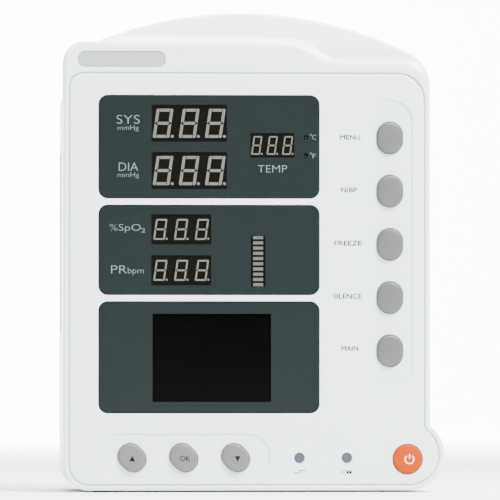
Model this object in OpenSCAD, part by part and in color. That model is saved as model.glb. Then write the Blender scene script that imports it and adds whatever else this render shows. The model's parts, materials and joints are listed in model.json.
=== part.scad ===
// Table-top patient monitor: white moulded case with a grip arch on top, three dark
// display windows, nine keys, and a power key in a lobe at the lower right corner.
// Millimetres. X runs to the right seen from the front, Y runs back, Z is up.
// The origin is the centre of the footprint, at the level that the feet stand on.
// Depths called d are counted back from the front face; heights called z from the case's bottom.

/* [Case] */
// Overall width, from the left wall to the outside of the power key lobe
case_w = 185.6; // [184:0.2:188]
// Height of the case at the crown of the grip arch
case_h = 232.5; // [231:0.5:234]
// Overall depth, from the key fronts to the rear face
overall_d = 108; // [106:1:116]
// Wall thickness of the front and rear shells
wall = 2.6; // [2.2:0.1:2.8]
// Depth of the front shell
front_d = 30; // [28:1:32]

/* [Front panel] */
// Width of the white rim between the case's edge and the panel
rim = 2.9; // [2.4:0.1:3.2]
// Thickness of the front panel
panel_t = 3; // [2.8:0.1:3.4]
// Gap all round between the panel and the shell
panel_gap = 0.3; // [0.2:0.1:0.5]
// Width of the three windows
window_w = 107.6; // [106:0.2:108]
// Corner radius of the windows
window_r = 4.6; // [3:0.2:6]

/* [Keys] */
// How far a key's front stands out of the panel
key_proud = 1.6; // [1.2:0.1:2]
// Travel of every key
key_travel = 1; // [0.5:0.1:1.2]
// End radius of the five oval keys
key_r = 6.2; // [5.8:0.1:6.4]
// Radius of the power key
power_r = 7.15; // [6.5:0.05:7.4]
// Clearance between a key and its hole
key_gap = 0.25; // [0.2:0.05:0.35]

/* [Battery] */
// How far the battery cover pulls off
cover_travel = 30; // [20:5:40]

/* [Hidden] */
$fn = 64;

// Case outline
body_right = 85.8;         // right wall; the lobe reaches case_w / 2
shoulder_z = 218.4;        // top of the left shoulder
corner_bottom_r = 12.5;
corner_top_r = 10;
lobe_r = 17.6;             // lobe around the power key
lobe_x = case_w / 2 - lobe_r;
arch_r = 183;              // radius of the grip arch
arch_x = -6;
arch_z = case_h - arch_r;
arch_end_r = 18;           // corner that joins the arch to the right wall
arch_end_x = body_right - arch_end_r;
arch_end_z = arch_z + sqrt(pow(arch_r - arch_end_r, 2) - pow(arch_end_x - arch_x, 2));
shoulder_fillet = 6;       // hollow corner between shoulder and arch
lobe_fillet = 1;           // hollow corner between right wall and lobe
rear_top = 202;            // height of the rear shell
rear_r = 12.5;             // corner radius of the rear shell

// Depths behind the front face
foot_proud = 0.8;          // feet stand this far below the case
base_z = foot_proud;
face_y = -overall_d / 2 + key_proud;
case_d = overall_d - key_proud;
seal_t = 0.6;
rear_d = front_d + seal_t; // front rim of the rear shell
ledge_t = 2;               // shelf behind the panel
ledge_w = 4;
board_d = 11.2;            // front of the display board
board_t = 1.6;
main_d = 84;               // front of the main board

// Panel features
panel_top = 202.9;
panel_r = 7;               // top left corner of the panel
panel_top_r = 13.2;        // top right corner of the panel
window_x = -22;
windows = [[167.05, 50.5], [116.9, 44], [64.7, 54.6]]; // centre height, height
lens_t = 1.5;
lens_d = 0.5;              // window plates lie this far below the panel's face
lens_lip = 1.6;            // shelf that each plate is bonded to
lens_gap = 0.1;
film_t = 0.35;             // front layer of a plate, which laps over the edges of the displays
film_lap = 0.55;

// Keys: name, x, z, end radius, half of the straight part, angle
key_half = 1.45;
side_x = 66.1;
side_z = 119.7;
side_pitch = 25.9;
nav_x = -34.2;
nav_z = 16;
nav_pitch = 25.2;
nav_r = 5.85;
nav_half = 1.35;
power_x = 74.7;
power_z = 15.3;
key_names = ["menu", "nibp", "freeze", "silence", "main", "up", "ok", "down", "power"];
keys = concat(
    [for (i = [0:4]) [side_x, side_z + (2 - i) * side_pitch, key_r, key_half, 90]],
    [for (i = [-1:1]) [nav_x + i * nav_pitch, nav_z, nav_r, nav_half, -45]],
    [[power_x, power_z, power_r, 0, 0]]
);
recess_d = 0.8;            // shallow recesses around the two key groups
side_recess_w = 21.6;
side_recess_h = 140.8;
nav_recess_w = 83.5;
nav_recess_h = 21.2;
flange_d = panel_t + 0.1;  // key flange behind the panel
flange_t = 1;
post_d = 6.2;              // back end of the key's post
plunger_r = 1.7;
switch_d = 7.7;            // front of the switch case
switch_w = 6;
lamps = [[22, 15.9], [45.1, 15.9]];
lamp_r = 2.5;

// Displays: centre x, centre z, case width, case height, pitch of the digits, then a digit's
// height, width and stroke
digit_displays = [
    [-31.6, 178.5, 37.6, 19, 12.7, 14.2, 8.15, 1.45],
    [-31.6, 155.5, 37.6, 19, 12.7, 14.2, 8.15, 1.45],
    [8.8, 167.8, 22.4, 13, 7.5, 9.1, 4.3, 0.7],
    [-35.5, 126.9, 30.1, 15.6, 10.1, 10.2, 5.6, 0.85],
    [-35.5, 107, 30.1, 15.6, 10.1, 10.2, 5.6, 0.85]
];
led_front = 0.9;           // faces of the digit modules
led_gap = 0.2;
segment_deep = 0.4;
digit_slant = 8;
bar_x = 1.95;
bar_z = 111.5;
bar_w = 6.9;
bar_h = 25.9;
bar_pitch = 2.54;
lcd_x = -20.6;
lcd_z = 64.5;
lcd_view = [57.6, 42.8];
unit_leds = [[25.2, 171.9], [25.2, 162.9]];
unit_led_r = 1;
lcd_front = 2.1;

// Alarm light
alarm_x = -64.5;
alarm_z = 209.7;
alarm_w = 42.4;
alarm_h = 7.5;
alarm_r = 3.3;
alarm_board_d = 7;

// Grip pocket behind the arch
slope_z = 216;             // the arch leans back above this height
slope_angle = 15;
grip_x = 4;
grip_w = 84;
grip_z0 = 204.6;
grip_z1 = 220.6;
grip_wall = 2.4;
grip_d = 10;

// Fixings
case_fixings = [[-84, 9], [-84, 193], [78, 193], [80, 40]];
board_fixings = [[-81, 40], [-81, 115], [-81, 180], [44, 36], [44, 115], [44, 190]];
main_fixings = [[-70, 92], [66, 92], [-70, 182], [66, 182]];
alarm_fixings = [[-80, 201.8], [-49, 201.8]];
screw_r = 1.48;
screw_bore_r = 1.5;
tower_floor_d = 40;        // seat of the case screws' heads
small_screw_r = 1.23;
small_bore_r = 1.25;
mount_x = -3.5;            // centre of the rear mounting pattern
mount_z = 130;
mount_pitch = 75;
insert_r = 3;
insert_bore_r = 2;
insert_len = 8;
mount_points = [for (i = [-1, 1], j = [-1, 1])
    [mount_x + i * mount_pitch / 2, mount_z + j * mount_pitch / 2]];

// Rear and side bays
inlet_bay = [16, 81, 16, 50];       // x0, x1, z0, z1
inlet_bay_d = 12;
inlet_x = 42;
inlet_z = 33;
inlet_floor_d = case_d - inlet_bay_d;
inlet_fixings = [[inlet_x - 20, inlet_z], [inlet_x + 20, inlet_z]];
earth_x = 74.5;
supply_pegs = [[21, 63], [79, 100]]; // x, d
port_bay = [50, 86, 78, 166];       // d0, d1, z0, z1
port_bay_deep = 6;
port_floor = -case_w / 2 + port_bay_deep;
port_d = 68;
ports = [146, 122, 98];             // heights of the pressure, oximetry and temperature sockets

// Battery
battery_bay = [-70, 0, 16, 70];     // x0, x1, z0, z1
battery_bay_d = 80;
cover_t = 2.5;
cover_lap = 4;
cover_gap = 0.3;
foot_points = [[-72, 16], [66, 16], [-72, 92], [66, 92]]; // x, d
foot_r = 6;
speaker_d = 66;
speaker_z = 150;
speaker_r = 18;

white = "whitesmoke";
grey = "darkgray";
black = [0.08, 0.08, 0.08];
smoke = [0.2, 0.25, 0.27];
board_green = [0.1, 0.35, 0.2];

// ---- helpers -------------------------------------------------------------

// Extrudes a front-view outline from depth d0 to depth d1.
module slab(d0, d1) {
    translate([0, face_y + d1, base_z])
        rotate([90, 0, 0])
            linear_extrude(d1 - d0) children();
}

// Cylinder along the depth.
module rod(x, z, r, d0, d1) {
    translate([x, face_y + d1, base_z + z])
        rotate([90, 0, 0])
            cylinder(r = r, h = d1 - d0);
}

// Cylinder along X at depth d.
module cross_rod(x0, x1, d, z, r) {
    translate([x0, face_y + d, base_z + z])
        rotate([0, 90, 0])
            cylinder(r = r, h = x1 - x0);
}

// Upright cylinder.
module pillar(x, d, z0, z1, r) {
    translate([x, face_y + d, base_z + z0])
        cylinder(r = r, h = z1 - z0);
}

module block(x0, x1, d0, d1, z0, z1) {
    translate([x0, face_y + d0, base_z + z0])
        cube([x1 - x0, d1 - d0, z1 - z0]);
}

// Rectangle with true round corners, centred on x, z.
module rounded(x, z, w, h, r) {
    translate([x, z]) {
        square([w - 2 * r, h], center = true);
        square([w, h - 2 * r], center = true);
        for (i = [-1, 1], j = [-1, 1])
            translate([i * (w / 2 - r), j * (h / 2 - r)]) circle(r);
    }
}

// Two half rounds joined by a straight part of twice half.
module stadium(x, z, r, half, angle) {
    translate([x, z]) rotate(angle) {
        if (half > 0) square([2 * half, 2 * r], center = true);
        if (half > 0)
            for (i = [-1, 1]) translate([i * half, 0]) circle(r);
        else
            circle(r);
    }
}

// Outer shape of the case seen from the front, taken in by t all round.
module case_outline(t = 0) {
    left = -case_w / 2 + t;
    right = body_right - t;
    rb = corner_bottom_r - t;
    rt = corner_top_r - t;
    top = shoulder_z - t;
    // body, as high as the shoulder on the left and as the top corner on the right
    translate([left + rb, t]) square([arch_x - left - rb, top - t]);
    translate([arch_x - 1, t]) square([lobe_x - arch_x + 1, arch_end_z - t]);
    translate([left, t + rb]) square([rb + 1, top - t - rb - rt]);
    translate([left + rb, t + rb]) circle(rb);
    translate([left + rt, top - rt]) circle(rt);
    translate([left + rt, top - 2 * rt]) square([rb, 2 * rt]);
    // right flank and the lobe
    translate([lobe_x - 10, lobe_r]) square([right - lobe_x + 10, arch_end_z - lobe_r]);
    translate([lobe_x, lobe_r]) circle(lobe_r - t);
    lobe_hollow(t);
    // grip arch
    intersection() {
        translate([arch_x, arch_z]) circle(arch_r - t, $fn = 256);
        polygon([[arch_x, arch_z], arch_left(t), arch_left(t) * 2 - [arch_x, arch_z],
            [arch_end_x, arch_end_z] * 3 - [arch_x, arch_z] * 2]);
    }
    translate([arch_end_x, arch_end_z]) circle(arch_end_r - t);
    shoulder_hollow(t);
}

// Where the arch meets the shoulder's level.
function arch_left(t) = [
    arch_x - sqrt(pow(arch_r - t, 2) - pow(shoulder_z - t - arch_z, 2)), shoulder_z - t];

// Hollow corner on top of the lobe.
module lobe_hollow(t) {
    r = lobe_fillet + t;
    x = body_right + lobe_fillet;
    z = lobe_r + sqrt(pow(lobe_r + lobe_fillet, 2) - pow(x - lobe_x, 2));
    touch = [lobe_x, lobe_r] + ([x, z] - [lobe_x, lobe_r]) * (lobe_r - t) / (lobe_r + lobe_fillet);
    difference() {
        polygon([[x - r - 1, z], [x, z], touch, [lobe_x, lobe_r]]);
        translate([x, z]) circle(r);
    }
}

// Hollow corner between the shoulder and the arch.
module shoulder_hollow(t) {
    r = shoulder_fillet + t;
    z = shoulder_z + shoulder_fillet;
    x = arch_x - sqrt(pow(arch_r + shoulder_fillet, 2) - pow(z - arch_z, 2));
    centre = [arch_x, arch_z];
    touch = centre + ([x, z] - centre) * (arch_r - t) / (arch_r + shoulder_fillet);
    difference() {
        polygon([[x, z - r - 4], [x, z], touch, touch + [6, -10]]);
        translate([x, z]) circle(r);
    }
}

// Outline of the rear shell, taken in by t.
module rear_outline(t = 0) {
    rounded((body_right - case_w / 2) / 2, rear_top / 2,
        body_right + case_w / 2 - 2 * t, rear_top - 2 * t, rear_r - t);
}

// Outline of the front panel, taken in by t.
module panel_outline(t = 0) {
    left = -case_w / 2 + rim + t;
    right = body_right - rim - t;
    top = panel_top - t;
    intersection() {
        case_outline(rim + t);
        union() {
            translate([left - 1, -1]) square([case_w, arch_end_z - 30]);
            translate([left + panel_r, 100]) square([right - left - panel_r - panel_top_r, top - 100]);
            translate([left, 100]) square([right - left, top - 100 - panel_top_r]);
            translate([left + panel_r, top - panel_r]) circle(panel_r);
            translate([left, top - panel_top_r - 1]) square([20, panel_top_r - panel_r + 1]);
            translate([right - panel_top_r, top - panel_top_r]) circle(panel_top_r);
        }
    }
}

module key_shape(k, grow = 0) {
    stadium(k[0], k[1], k[2] + grow, k[3], k[4]);
}

// One digit of seven segments and a point, leaning to the right. On the large digits the
// uprights take the corners, on the others the corners are mitred.
module digit(h, w, t) {
    a = w / 2;
    b = h / 2;
    gap = 0.02 * h;
    dot_r = 0.052 * h;
    large = t > 1.2;
    bar = large ? [[a - t - gap, b], [a - t - gap, b - t]]
        : [[a - gap, b], [a - t - 0.4 * gap, b - t]];
    corner = large ? [[a - t, b], [a - 0.3 * t, b], [a, b - 0.3 * t]]
        : [[a - t, b - t - 0.4 * gap], [a, b - gap]];
    upright = concat(corner, [[a, gap / 2], [a - t, t / 2 + gap]]);
    middle = [[a - t / 2 - gap, 0], [a - t - gap, t / 2]];
    leaning([middle[1], middle[0], middle[1] - [0, t],
        [-middle[1][0], -t / 2], -middle[0], [-middle[1][0], t / 2]]);
    for (j = [-1, 1]) {
        leaning([for (p = [bar[0], bar[1], [-bar[1][0], bar[1][1]], [-bar[0][0], bar[0][1]]])
            [p[0], j * p[1]]]);
        for (i = [-1, 1]) leaning([for (p = upright) [i * p[0], j * p[1]]]);
    }
    translate(lean([a + 0.09 * h, dot_r - b])) circle(dot_r);
}

module leaning(points) polygon([for (p = points) lean(p)]);

function lean(p) = [p[0] + p[1] * tan(digit_slant), p[1]];

module digits(s) {
    for (i = [-1:1])
        translate([s[0] + i * s[4], s[1]]) digit(s[5], s[6], s[7]);
}

module bar_marks() {
    for (i = [0:9])
        translate([bar_x, bar_z + (i - 4.5) * bar_pitch]) square([4.9, 1.5], center = true);
}

// Screw along the depth, with its head towards the rear at depth head_d.
module screw(p, r, tip_d, head_d, head_r, head_h) {
    rod(p[0], p[1], r, tip_d, head_d);
    difference() {
        rod(p[0], p[1], head_r, head_d, head_d + head_h);
        slab(head_d + head_h * 0.4, head_d + head_h + 1) {
            translate(p) square([head_r * 1.2, 0.35 * head_r], center = true);
            translate(p) square([0.35 * head_r, head_r * 1.2], center = true);
        }
    }
}

// ---- case ----------------------------------------------------------------

module front_shell() {
    color(white)
    difference() {
        union() {
            difference() {
                slab(0, front_d) case_outline();
                // inside, with a thick front wall from the panel's top up
                slab(grip_d + 1, front_d - wall) case_outline(wall);
                slab(panel_t, front_d - wall) intersection() {
                    case_outline(wall);
                    translate([-case_w, 0]) square([2 * case_w, panel_top + 0.6]);
                }
                // room for the alarm light
                slab(panel_t, grip_d + 2) rounded(alarm_x, alarm_z - 3.1, alarm_w + 3, 16.6, 2);
                slab(front_d - wall - 1, front_d + 1) rear_outline(wall);
            }
            // shelf that the panel rests on
            slab(panel_t, panel_t + ledge_t) difference() {
                case_outline(wall - 0.2);
                panel_outline(ledge_w);
                translate([-case_w, panel_top + 1.4]) square([2 * case_w, 60]);
            }
            // walls of the grip pocket
            slab(grip_d - grip_wall, front_d)
                rounded(grip_x, (grip_z0 + grip_z1) / 2, grip_w + 2 * grip_wall,
                    grip_z1 - grip_z0 + 2 * grip_wall, 6 + grip_wall);
            for (p = case_fixings) rod(p[0], p[1], 4, panel_t + 1, front_d);
            for (p = alarm_fixings) rod(p[0], p[1], 2.4, panel_t + 1, alarm_board_d);
        }
        slab(-1, panel_t) panel_outline(-panel_gap);
        slab(grip_d, front_d + 1)
            rounded(grip_x, (grip_z0 + grip_z1) / 2, grip_w, grip_z1 - grip_z0, 6);
        slab(-1, panel_t + 1) rounded(alarm_x, alarm_z, alarm_w + 0.2, alarm_h + 0.2, alarm_r + 0.1);
        // the arch leans back
        translate([-case_w, face_y, base_z + slope_z])
            rotate([-slope_angle, 0, 0])
                translate([0, -40, 0]) cube([2 * case_w, 40, 60]);
        for (p = case_fixings) rod(p[0], p[1], screw_bore_r, 14, front_d + 1);
        for (p = alarm_fixings) rod(p[0], p[1], small_bore_r, 4.2, alarm_board_d + 1);
        for (p = foot_points) if (p[1] < front_d) pillar(p[0], p[1], -1, foot_proud, foot_r + 0.1);
    }
}

module front_panel() {
    color(white)
    difference() {
        union() {
            slab(0, panel_t) panel_outline();
            for (p = board_fixings) rod(p[0], p[1], 3, panel_t - 0.5, board_d);
            panel_clips();
        }
        for (w = windows) {
            slab(-1, lens_d + lens_t)
                rounded(window_x, w[0], window_w, w[1], window_r);
            slab(1, panel_t + 1)
                rounded(window_x, w[0], window_w - 2 * lens_lip, w[1] - 2 * lens_lip,
                    window_r - lens_lip);
        }
        slab(-1, recess_d) {
            rounded(side_x, side_z, side_recess_w, side_recess_h, side_recess_w / 2 - 0.01);
            rounded(nav_x, nav_z + 0.9, nav_recess_w, nav_recess_h, nav_recess_h / 2 - 0.01);
        }
        for (k = keys) slab(-1, panel_t + 1) key_shape(k, key_gap);
        for (p = lamps) rod(p[0], p[1], lamp_r + 0.1, -1, panel_t + 1);
        for (p = board_fixings) rod(p[0], p[1], small_bore_r, 5, board_d + 1);
    }
}

// Hooks that catch behind the shelf on the four sides.
module panel_clips() {
    inner_left = -case_w / 2 + rim + ledge_w;
    inner_right = body_right - rim - ledge_w;
    inner_top = panel_top - ledge_w;
    leg = 1.2;
    hook = 1;
    back = panel_t + ledge_t + 0.1;
    for (z = [65, 95, 150]) {
        block(inner_left + 0.1, inner_left + 0.1 + leg, panel_t - 0.5, back + 1.4, z, z + 8);
        block(inner_left + 0.1 - hook, inner_left + 0.2, back, back + 1.4, z, z + 8);
        block(inner_right - 0.1 - leg, inner_right - 0.1, panel_t - 0.5, back + 1.4, z, z + 8);
        block(inner_right - 0.2, inner_right - 0.1 + hook, back, back + 1.4, z, z + 8);
    }
    for (x = [-38, 0, 35]) {
        block(x, x + 8, panel_t - 0.5, back + 1.4, inner_top - 0.1 - leg, inner_top - 0.1);
        block(x, x + 8, back, back + 1.4, inner_top - 0.2, inner_top - 0.1 + hook);
    }
}

module rear_shell() {
    color(white)
    difference() {
        union() {
            difference() {
                slab(rear_d, case_d) rear_outline();
                slab(rear_d - 1, case_d - wall) rear_outline(wall);
            }
            for (p = case_fixings) rod(p[0], p[1], 5, rear_d, case_d - 1);
            for (p = main_fixings) rod(p[0], p[1], 3.5, main_d + board_t, case_d - 1);
            for (p = mount_points) rod(p[0], p[1], 5.5, case_d - insert_len - 1.6, case_d - 1);
            // battery bay
            slab(battery_bay_d - 2, case_d) translate([battery_bay[0] - 2, battery_bay[2] - 2])
                square([battery_bay[1] - battery_bay[0] + 4, battery_bay[3] - battery_bay[2] + 4]);
            slab(case_d - cover_t - 2, case_d - 1) cover_shape(2);
            // bay around the mains inlet
            slab(case_d - inlet_bay_d - wall, case_d)
                translate([inlet_bay[0] - wall, inlet_bay[2] - wall])
                    square([inlet_bay[1] - inlet_bay[0] + 2 * wall, inlet_bay[3] - inlet_bay[2] + 2 * wall]);
            // bay around the sensor sockets
            block(-case_w / 2, port_floor + wall, port_bay[0] - wall, port_bay[1] + wall,
                port_bay[2] - wall, port_bay[3] + wall);
            // pump cradle
            block(-62, -44, 44, 56, wall - 0.5, 16);
            block(-34, -14, 44, 56, wall - 0.5, 10);
            // power supply rails
            block(13.4, body_right - 1, 60, 66, 50.4, 54);
            block(13.4, body_right - 1, 96, 104, 50.4, 54);
            block(body_right - wall - 0.5, body_right - 1, 60, 104, 48, 54);
            block(13.4, 17, 60, 104, 48, 54);
            block(13.4, 17, 90, 104, 40, 54);
            for (p = supply_pegs) pillar(p[0], p[1], 53, 57.5, 1.4);
        }
        for (p = case_fixings) {
            rod(p[0], p[1], screw_r + 0.2, rear_d - 1, case_d + 1);
            rod(p[0], p[1], 3.8, tower_floor_d, case_d + 1);
        }
        for (p = main_fixings) rod(p[0], p[1], small_bore_r, main_d, main_d + 12);
        for (p = mount_points) rod(p[0], p[1], insert_r, case_d - insert_len, case_d + 1);
        slab(battery_bay_d, case_d + 1) translate([battery_bay[0], battery_bay[2]])
            square([battery_bay[1] - battery_bay[0], battery_bay[3] - battery_bay[2]]);
        slab(case_d - cover_t, case_d + 1) cover_shape(cover_gap);
        slab(case_d - inlet_bay_d, case_d + 1) translate([inlet_bay[0], inlet_bay[2]])
            square([inlet_bay[1] - inlet_bay[0], inlet_bay[3] - inlet_bay[2]]);
        slab(case_d - inlet_bay_d - wall - 1, case_d)
            rounded(inlet_x, inlet_z, 27.4, 19.9, 2);
        rod(earth_x, inlet_z, 2.6, inlet_floor_d - wall - 1, case_d);
        for (p = inlet_fixings) rod(p[0], p[1], small_bore_r, inlet_floor_d - wall - 1, case_d);
        block(-case_w / 2 - 1, port_floor, port_bay[0], port_bay[1], port_bay[2], port_bay[3]);
        for (z = ports) cross_rod(port_floor - 1, port_floor + wall + 1, port_d, z, 5.6);
        cross_rod(-70, -38, 50, 24, 12.05);
        vent_slots();
        speaker_slots();
        for (p = foot_points) if (p[1] > front_d) pillar(p[0], p[1], -1, foot_proud, foot_r + 0.1);
    }
}

// Air slots across the top of the rear face.
module vent_slots() {
    for (x = [-36:6:30])
        slab(case_d - wall - 1, case_d + 1) stadium(x, 184, 1.2, 5, 90);
}

// Sound slots in the right wall.
module speaker_slots() {
    for (i = [-3:3])
        block(body_right - wall - 1, body_right + 1, speaker_d - 12, speaker_d + 12,
            speaker_z + i * 4.4 - 0.9, speaker_z + i * 4.4 + 0.9);
}

// Outline of the battery cover, grown by g.
module cover_shape(g = 0) {
    rounded((battery_bay[0] + battery_bay[1]) / 2, (battery_bay[2] + battery_bay[3]) / 2,
        battery_bay[1] - battery_bay[0] + 2 * (cover_lap + g),
        battery_bay[3] - battery_bay[2] + 2 * (cover_lap + g), 3 + g);
}

module shell_seal() {
    color(black) slab(front_d, rear_d) difference() {
        rear_outline(0.5);
        rear_outline(wall - 0.2);
        for (p = case_fixings) translate(p) circle(5.2);
    }
}

module alarm_lens() {
    color("lightgray") {
        slab(0.4, panel_t) rounded(alarm_x, alarm_z, alarm_w, alarm_h, alarm_r);
        slab(panel_t, panel_t + 1.2)
            rounded(alarm_x, alarm_z, alarm_w + 2.2, alarm_h + 2.2, alarm_r + 1.1);
    }
}

module alarm_board() {
    color(board_green) {
        slab(alarm_board_d, alarm_board_d + 1) difference() {
            rounded(alarm_x, 206.3, alarm_w - 1.4, 13.6, 1);
            for (p = alarm_fixings) translate(p) circle(1.5);
        }
        for (i = [-1.5:1.5]) slab(alarm_board_d - 1.6, alarm_board_d)
            translate([alarm_x + i * 10, alarm_z]) square([3, 2.6], center = true);
    }
}

// Printed plate with an opening for each display that stands in it. The front layer laps over
// the displays' edges.
module window_plate(w) {
    color(smoke) {
        slab(lens_d, lens_d + film_t) plate_shape(w, -2 * film_lap);
        slab(lens_d + film_t, lens_d + lens_t) plate_shape(w, led_gap);
    }
}

// Plate's outline less openings that exceed the displays by grow.
module plate_shape(w, grow) {
    difference() {
        rounded(window_x, w[0], window_w - 2 * lens_gap, w[1] - 2 * lens_gap, window_r - lens_gap);
        for (s = digit_displays)
            translate([s[0], s[1]]) square([s[2] + grow, s[3] + grow], center = true);
        translate([bar_x, bar_z]) square([bar_w + led_gap, bar_h + grow], center = true);
        translate([lcd_x, lcd_z]) square(lcd_view, center = true);
        for (p = unit_leds) translate(p) circle(unit_led_r + 0.1);
    }
}

module lamp_lenses() {
    color("lightsteelblue") for (p = lamps) {
        rod(p[0], p[1], lamp_r, 0, 8.4);
        rod(p[0], p[1], lamp_r + 0.9, panel_t, panel_t + 1);
    }
}

module case_screws() {
    color("silver") for (p = case_fixings) screw(p, screw_r, 15, tower_floor_d, 3.2, 2.4);
}

module small_screws() {
    color("silver") {
        for (p = board_fixings) screw(p, small_screw_r, 5.4, board_d + board_t, 2.4, 1.6);
        for (p = main_fixings) front_screw(p, small_screw_r, main_d + 11, main_d, 2.4, 1.6);
        for (p = alarm_fixings) screw(p, small_screw_r, 4.4, alarm_board_d + 1, 2.4, 1.6);
        for (p = inlet_fixings)
            screw(p, small_screw_r, inlet_floor_d - wall + 0.1, inlet_floor_d + 2.5, 2.4, 1.6);
    }
}

// Screw with its head towards the front.
module front_screw(p, r, tip_d, head_d, head_r, head_h) {
    rod(p[0], p[1], r, head_d, tip_d);
    rod(p[0], p[1], head_r, head_d - head_h, head_d);
}

module rubber_feet() {
    color(black) for (p = foot_points) pillar(p[0], p[1], -foot_proud, foot_proud, foot_r);
}

module mount_inserts() {
    color("goldenrod") for (p = mount_points) difference() {
        rod(p[0], p[1], insert_r, case_d - insert_len, case_d);
        rod(p[0], p[1], insert_bore_r, case_d - insert_len - 1, case_d + 1);
    }
}

module battery_cover() {
    color(white) difference() {
        union() {
            slab(case_d - cover_t + 0.05, case_d) cover_shape();
            // lugs that locate in the bay's mouth
            for (x = [battery_bay[0] + 0.4, battery_bay[1] - 2.4])
                block(x, x + 2, case_d - cover_t - 2.5, case_d - 1, 30, 56);
        }
        // finger scoop
        slab(case_d - 1, case_d + 1) stadium(-35, 22, 4, 9, 0);
    }
}

module battery_pack() {
    color("dimgray") difference() {
        block(battery_bay[0] + 0.8, battery_bay[1] - 0.8, battery_bay_d + 0.4, battery_bay_d + 21,
            battery_bay[2], battery_bay[3] - 0.8);
        for (x = [-47, -24])
            block(x - 0.4, x + 0.4, battery_bay_d + 20.4, battery_bay_d + 22, 15, 71);
    }
}

// ---- keys ----------------------------------------------------------------

// Cap with a flange behind the panel and a post that pushes the switch.
module key_cap(i) {
    k = keys[i];
    color(i == 8 ? "darkorange" : grey) {
        difference() {
            union() {
                slab(-key_proud, flange_d + flange_t) key_shape(k);
                slab(flange_d, flange_d + flange_t) key_shape(k, 0.9);
            }
            slab(0.2, flange_d + flange_t + 1) key_shape(k, -1.3);
        }
        rod(k[0], k[1], 2.2, 0.2, post_d);
    }
}

// Switch plunger, moving in the bore of the switch case.
module plunger(i) {
    color(black) rod(keys[i][0], keys[i][1], plunger_r, post_d, switch_d + 1.3);
}

module tact_switches() {
    color("dimgray") for (k = keys) difference() {
        slab(switch_d, board_d) translate([k[0], k[1]]) square(switch_w, center = true);
        rod(k[0], k[1], plunger_r + 0.05, switch_d - 1, switch_d + 2.7);
    }
}

// ---- displays ------------------------------------------------------------

module display_board() {
    color(board_green) difference() {
        slab(board_d, board_d + board_t) difference() {
            union() {
                translate([-86, 6]) square([160, 191]);
                translate([60, 6]) square([22.5, 22]);
            }
            for (p = case_fixings) translate(p) circle(5.2);
        }
        for (p = board_fixings) rod(p[0], p[1], 1.5, board_d - 1, board_d + 3);
    }
    // header for the ribbon cable
    color(black) block(-42, -14, board_d + board_t, board_d + board_t + 5, 117, 123);
}

module indicator_leds() {
    color("ghostwhite") {
        for (p = lamps) rod(p[0], p[1], 1.5, 8.6, board_d);
        for (p = unit_leds) {
            rod(p[0], p[1], unit_led_r, 2.2, board_d);
            translate([p[0], face_y + 2.2, base_z + p[1]]) sphere(unit_led_r);
        }
    }
}

module led_case(s) {
    color(black) difference() {
        slab(led_front, board_d) translate([s[0], s[1]]) square([s[2], s[3]], center = true);
        slab(led_front - 1, led_front + segment_deep) digits(s);
    }
}

module led_segments() {
    color("silver") for (s = digit_displays)
        slab(led_front, led_front + segment_deep) digits(s);
}

module pulse_bar() {
    color(black) difference() {
        slab(led_front, board_d) translate([bar_x, bar_z]) square([bar_w, bar_h], center = true);
        slab(led_front - 1, led_front + segment_deep) bar_marks();
    }
}

module pulse_bar_segments() {
    color("silver") slab(led_front, led_front + segment_deep) bar_marks();
}

// Holder that carries the glass on the board.
module lcd_frame() {
    color("dimgray") difference() {
        slab(lcd_front, board_d) translate([lcd_x, lcd_z]) square([68.4, 50.8], center = true);
        slab(lcd_front - 1, lcd_front + 3.5) translate([lcd_x, lcd_z]) square([66, 49], center = true);
        slab(lcd_front + 3, board_d + 1) translate([lcd_x, lcd_z]) square([50, 34], center = true);
    }
}

module lcd_panel() {
    color(black) slab(lcd_front, lcd_front + 3.5)
        translate([lcd_x, lcd_z]) square([65.6, 48.6], center = true);
}

// ---- inside --------------------------------------------------------------

module main_board() {
    color(board_green) difference() {
        slab(main_d, main_d + board_t) translate([-78, 86]) square([152, 104]);
        for (p = main_fixings) rod(p[0], p[1], 1.5, main_d - 1, main_d + 3);
    }
    color(black) {
        block(-42, -14, main_d - 5, main_d, 117, 123);
        block(-20, 4, main_d - 2.4, main_d, 140, 164);
        block(20, 36, main_d - 2, main_d, 136, 152);
        block(24, 40, main_d - 2, main_d, 104, 114);
    }
    color("silver") for (x = [46, 56]) rod(x, 160, 4, main_d - 12, main_d);
}

// Flat cable that hangs in a shallow loop between the two boards.
module ribbon_cable() {
    d0 = board_d + board_t + 5;
    d1 = main_d - 5;
    steps = 16;
    sag = 14;
    line = [for (i = [0:steps]) let (u = i / steps)
        [d0 + (d1 - d0) * u, 120 - sag * pow(sin(180 * u), 2)]];
    t = 0.9;
    color("lightgray") translate([-40, face_y, base_z])
        rotate([90, 0, 90]) linear_extrude(24)
            polygon(concat(line, [for (i = [steps:-1:0]) line[i] + [0, t]]));
}

module power_supply() {
    color(board_green) difference() {
        block(18, 82, 58, 102, 54, 55.6);
        for (p = supply_pegs) pillar(p[0], p[1], 53, 57, 1.5);
    }
    color("goldenrod") block(24, 54, 62, 86, 55.6, 79);
    color("black") for (x = [64, 75]) pillar(x, 72, 55.6, 76, 4.8);
    color("silver") block(60, 78, 84, 88, 55.6, 78);
}

module pump_motor() {
    color("silver") {
        cross_rod(-70, -38, 50, 24, 12);
        cross_rod(-72, -70, 50, 24, 4);
    }
}

module pump_head() {
    color("dimgray") {
        block(-38, -14, 37, 63, 10, 38);
        cross_rod(-14, -8, 50, 24, 2);
    }
}

module air_valve() {
    color("silver") {
        block(4, 22, 42, 58, wall, 19);
        cross_rod(1, 4, 50, 15, 2);
    }
}

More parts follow.
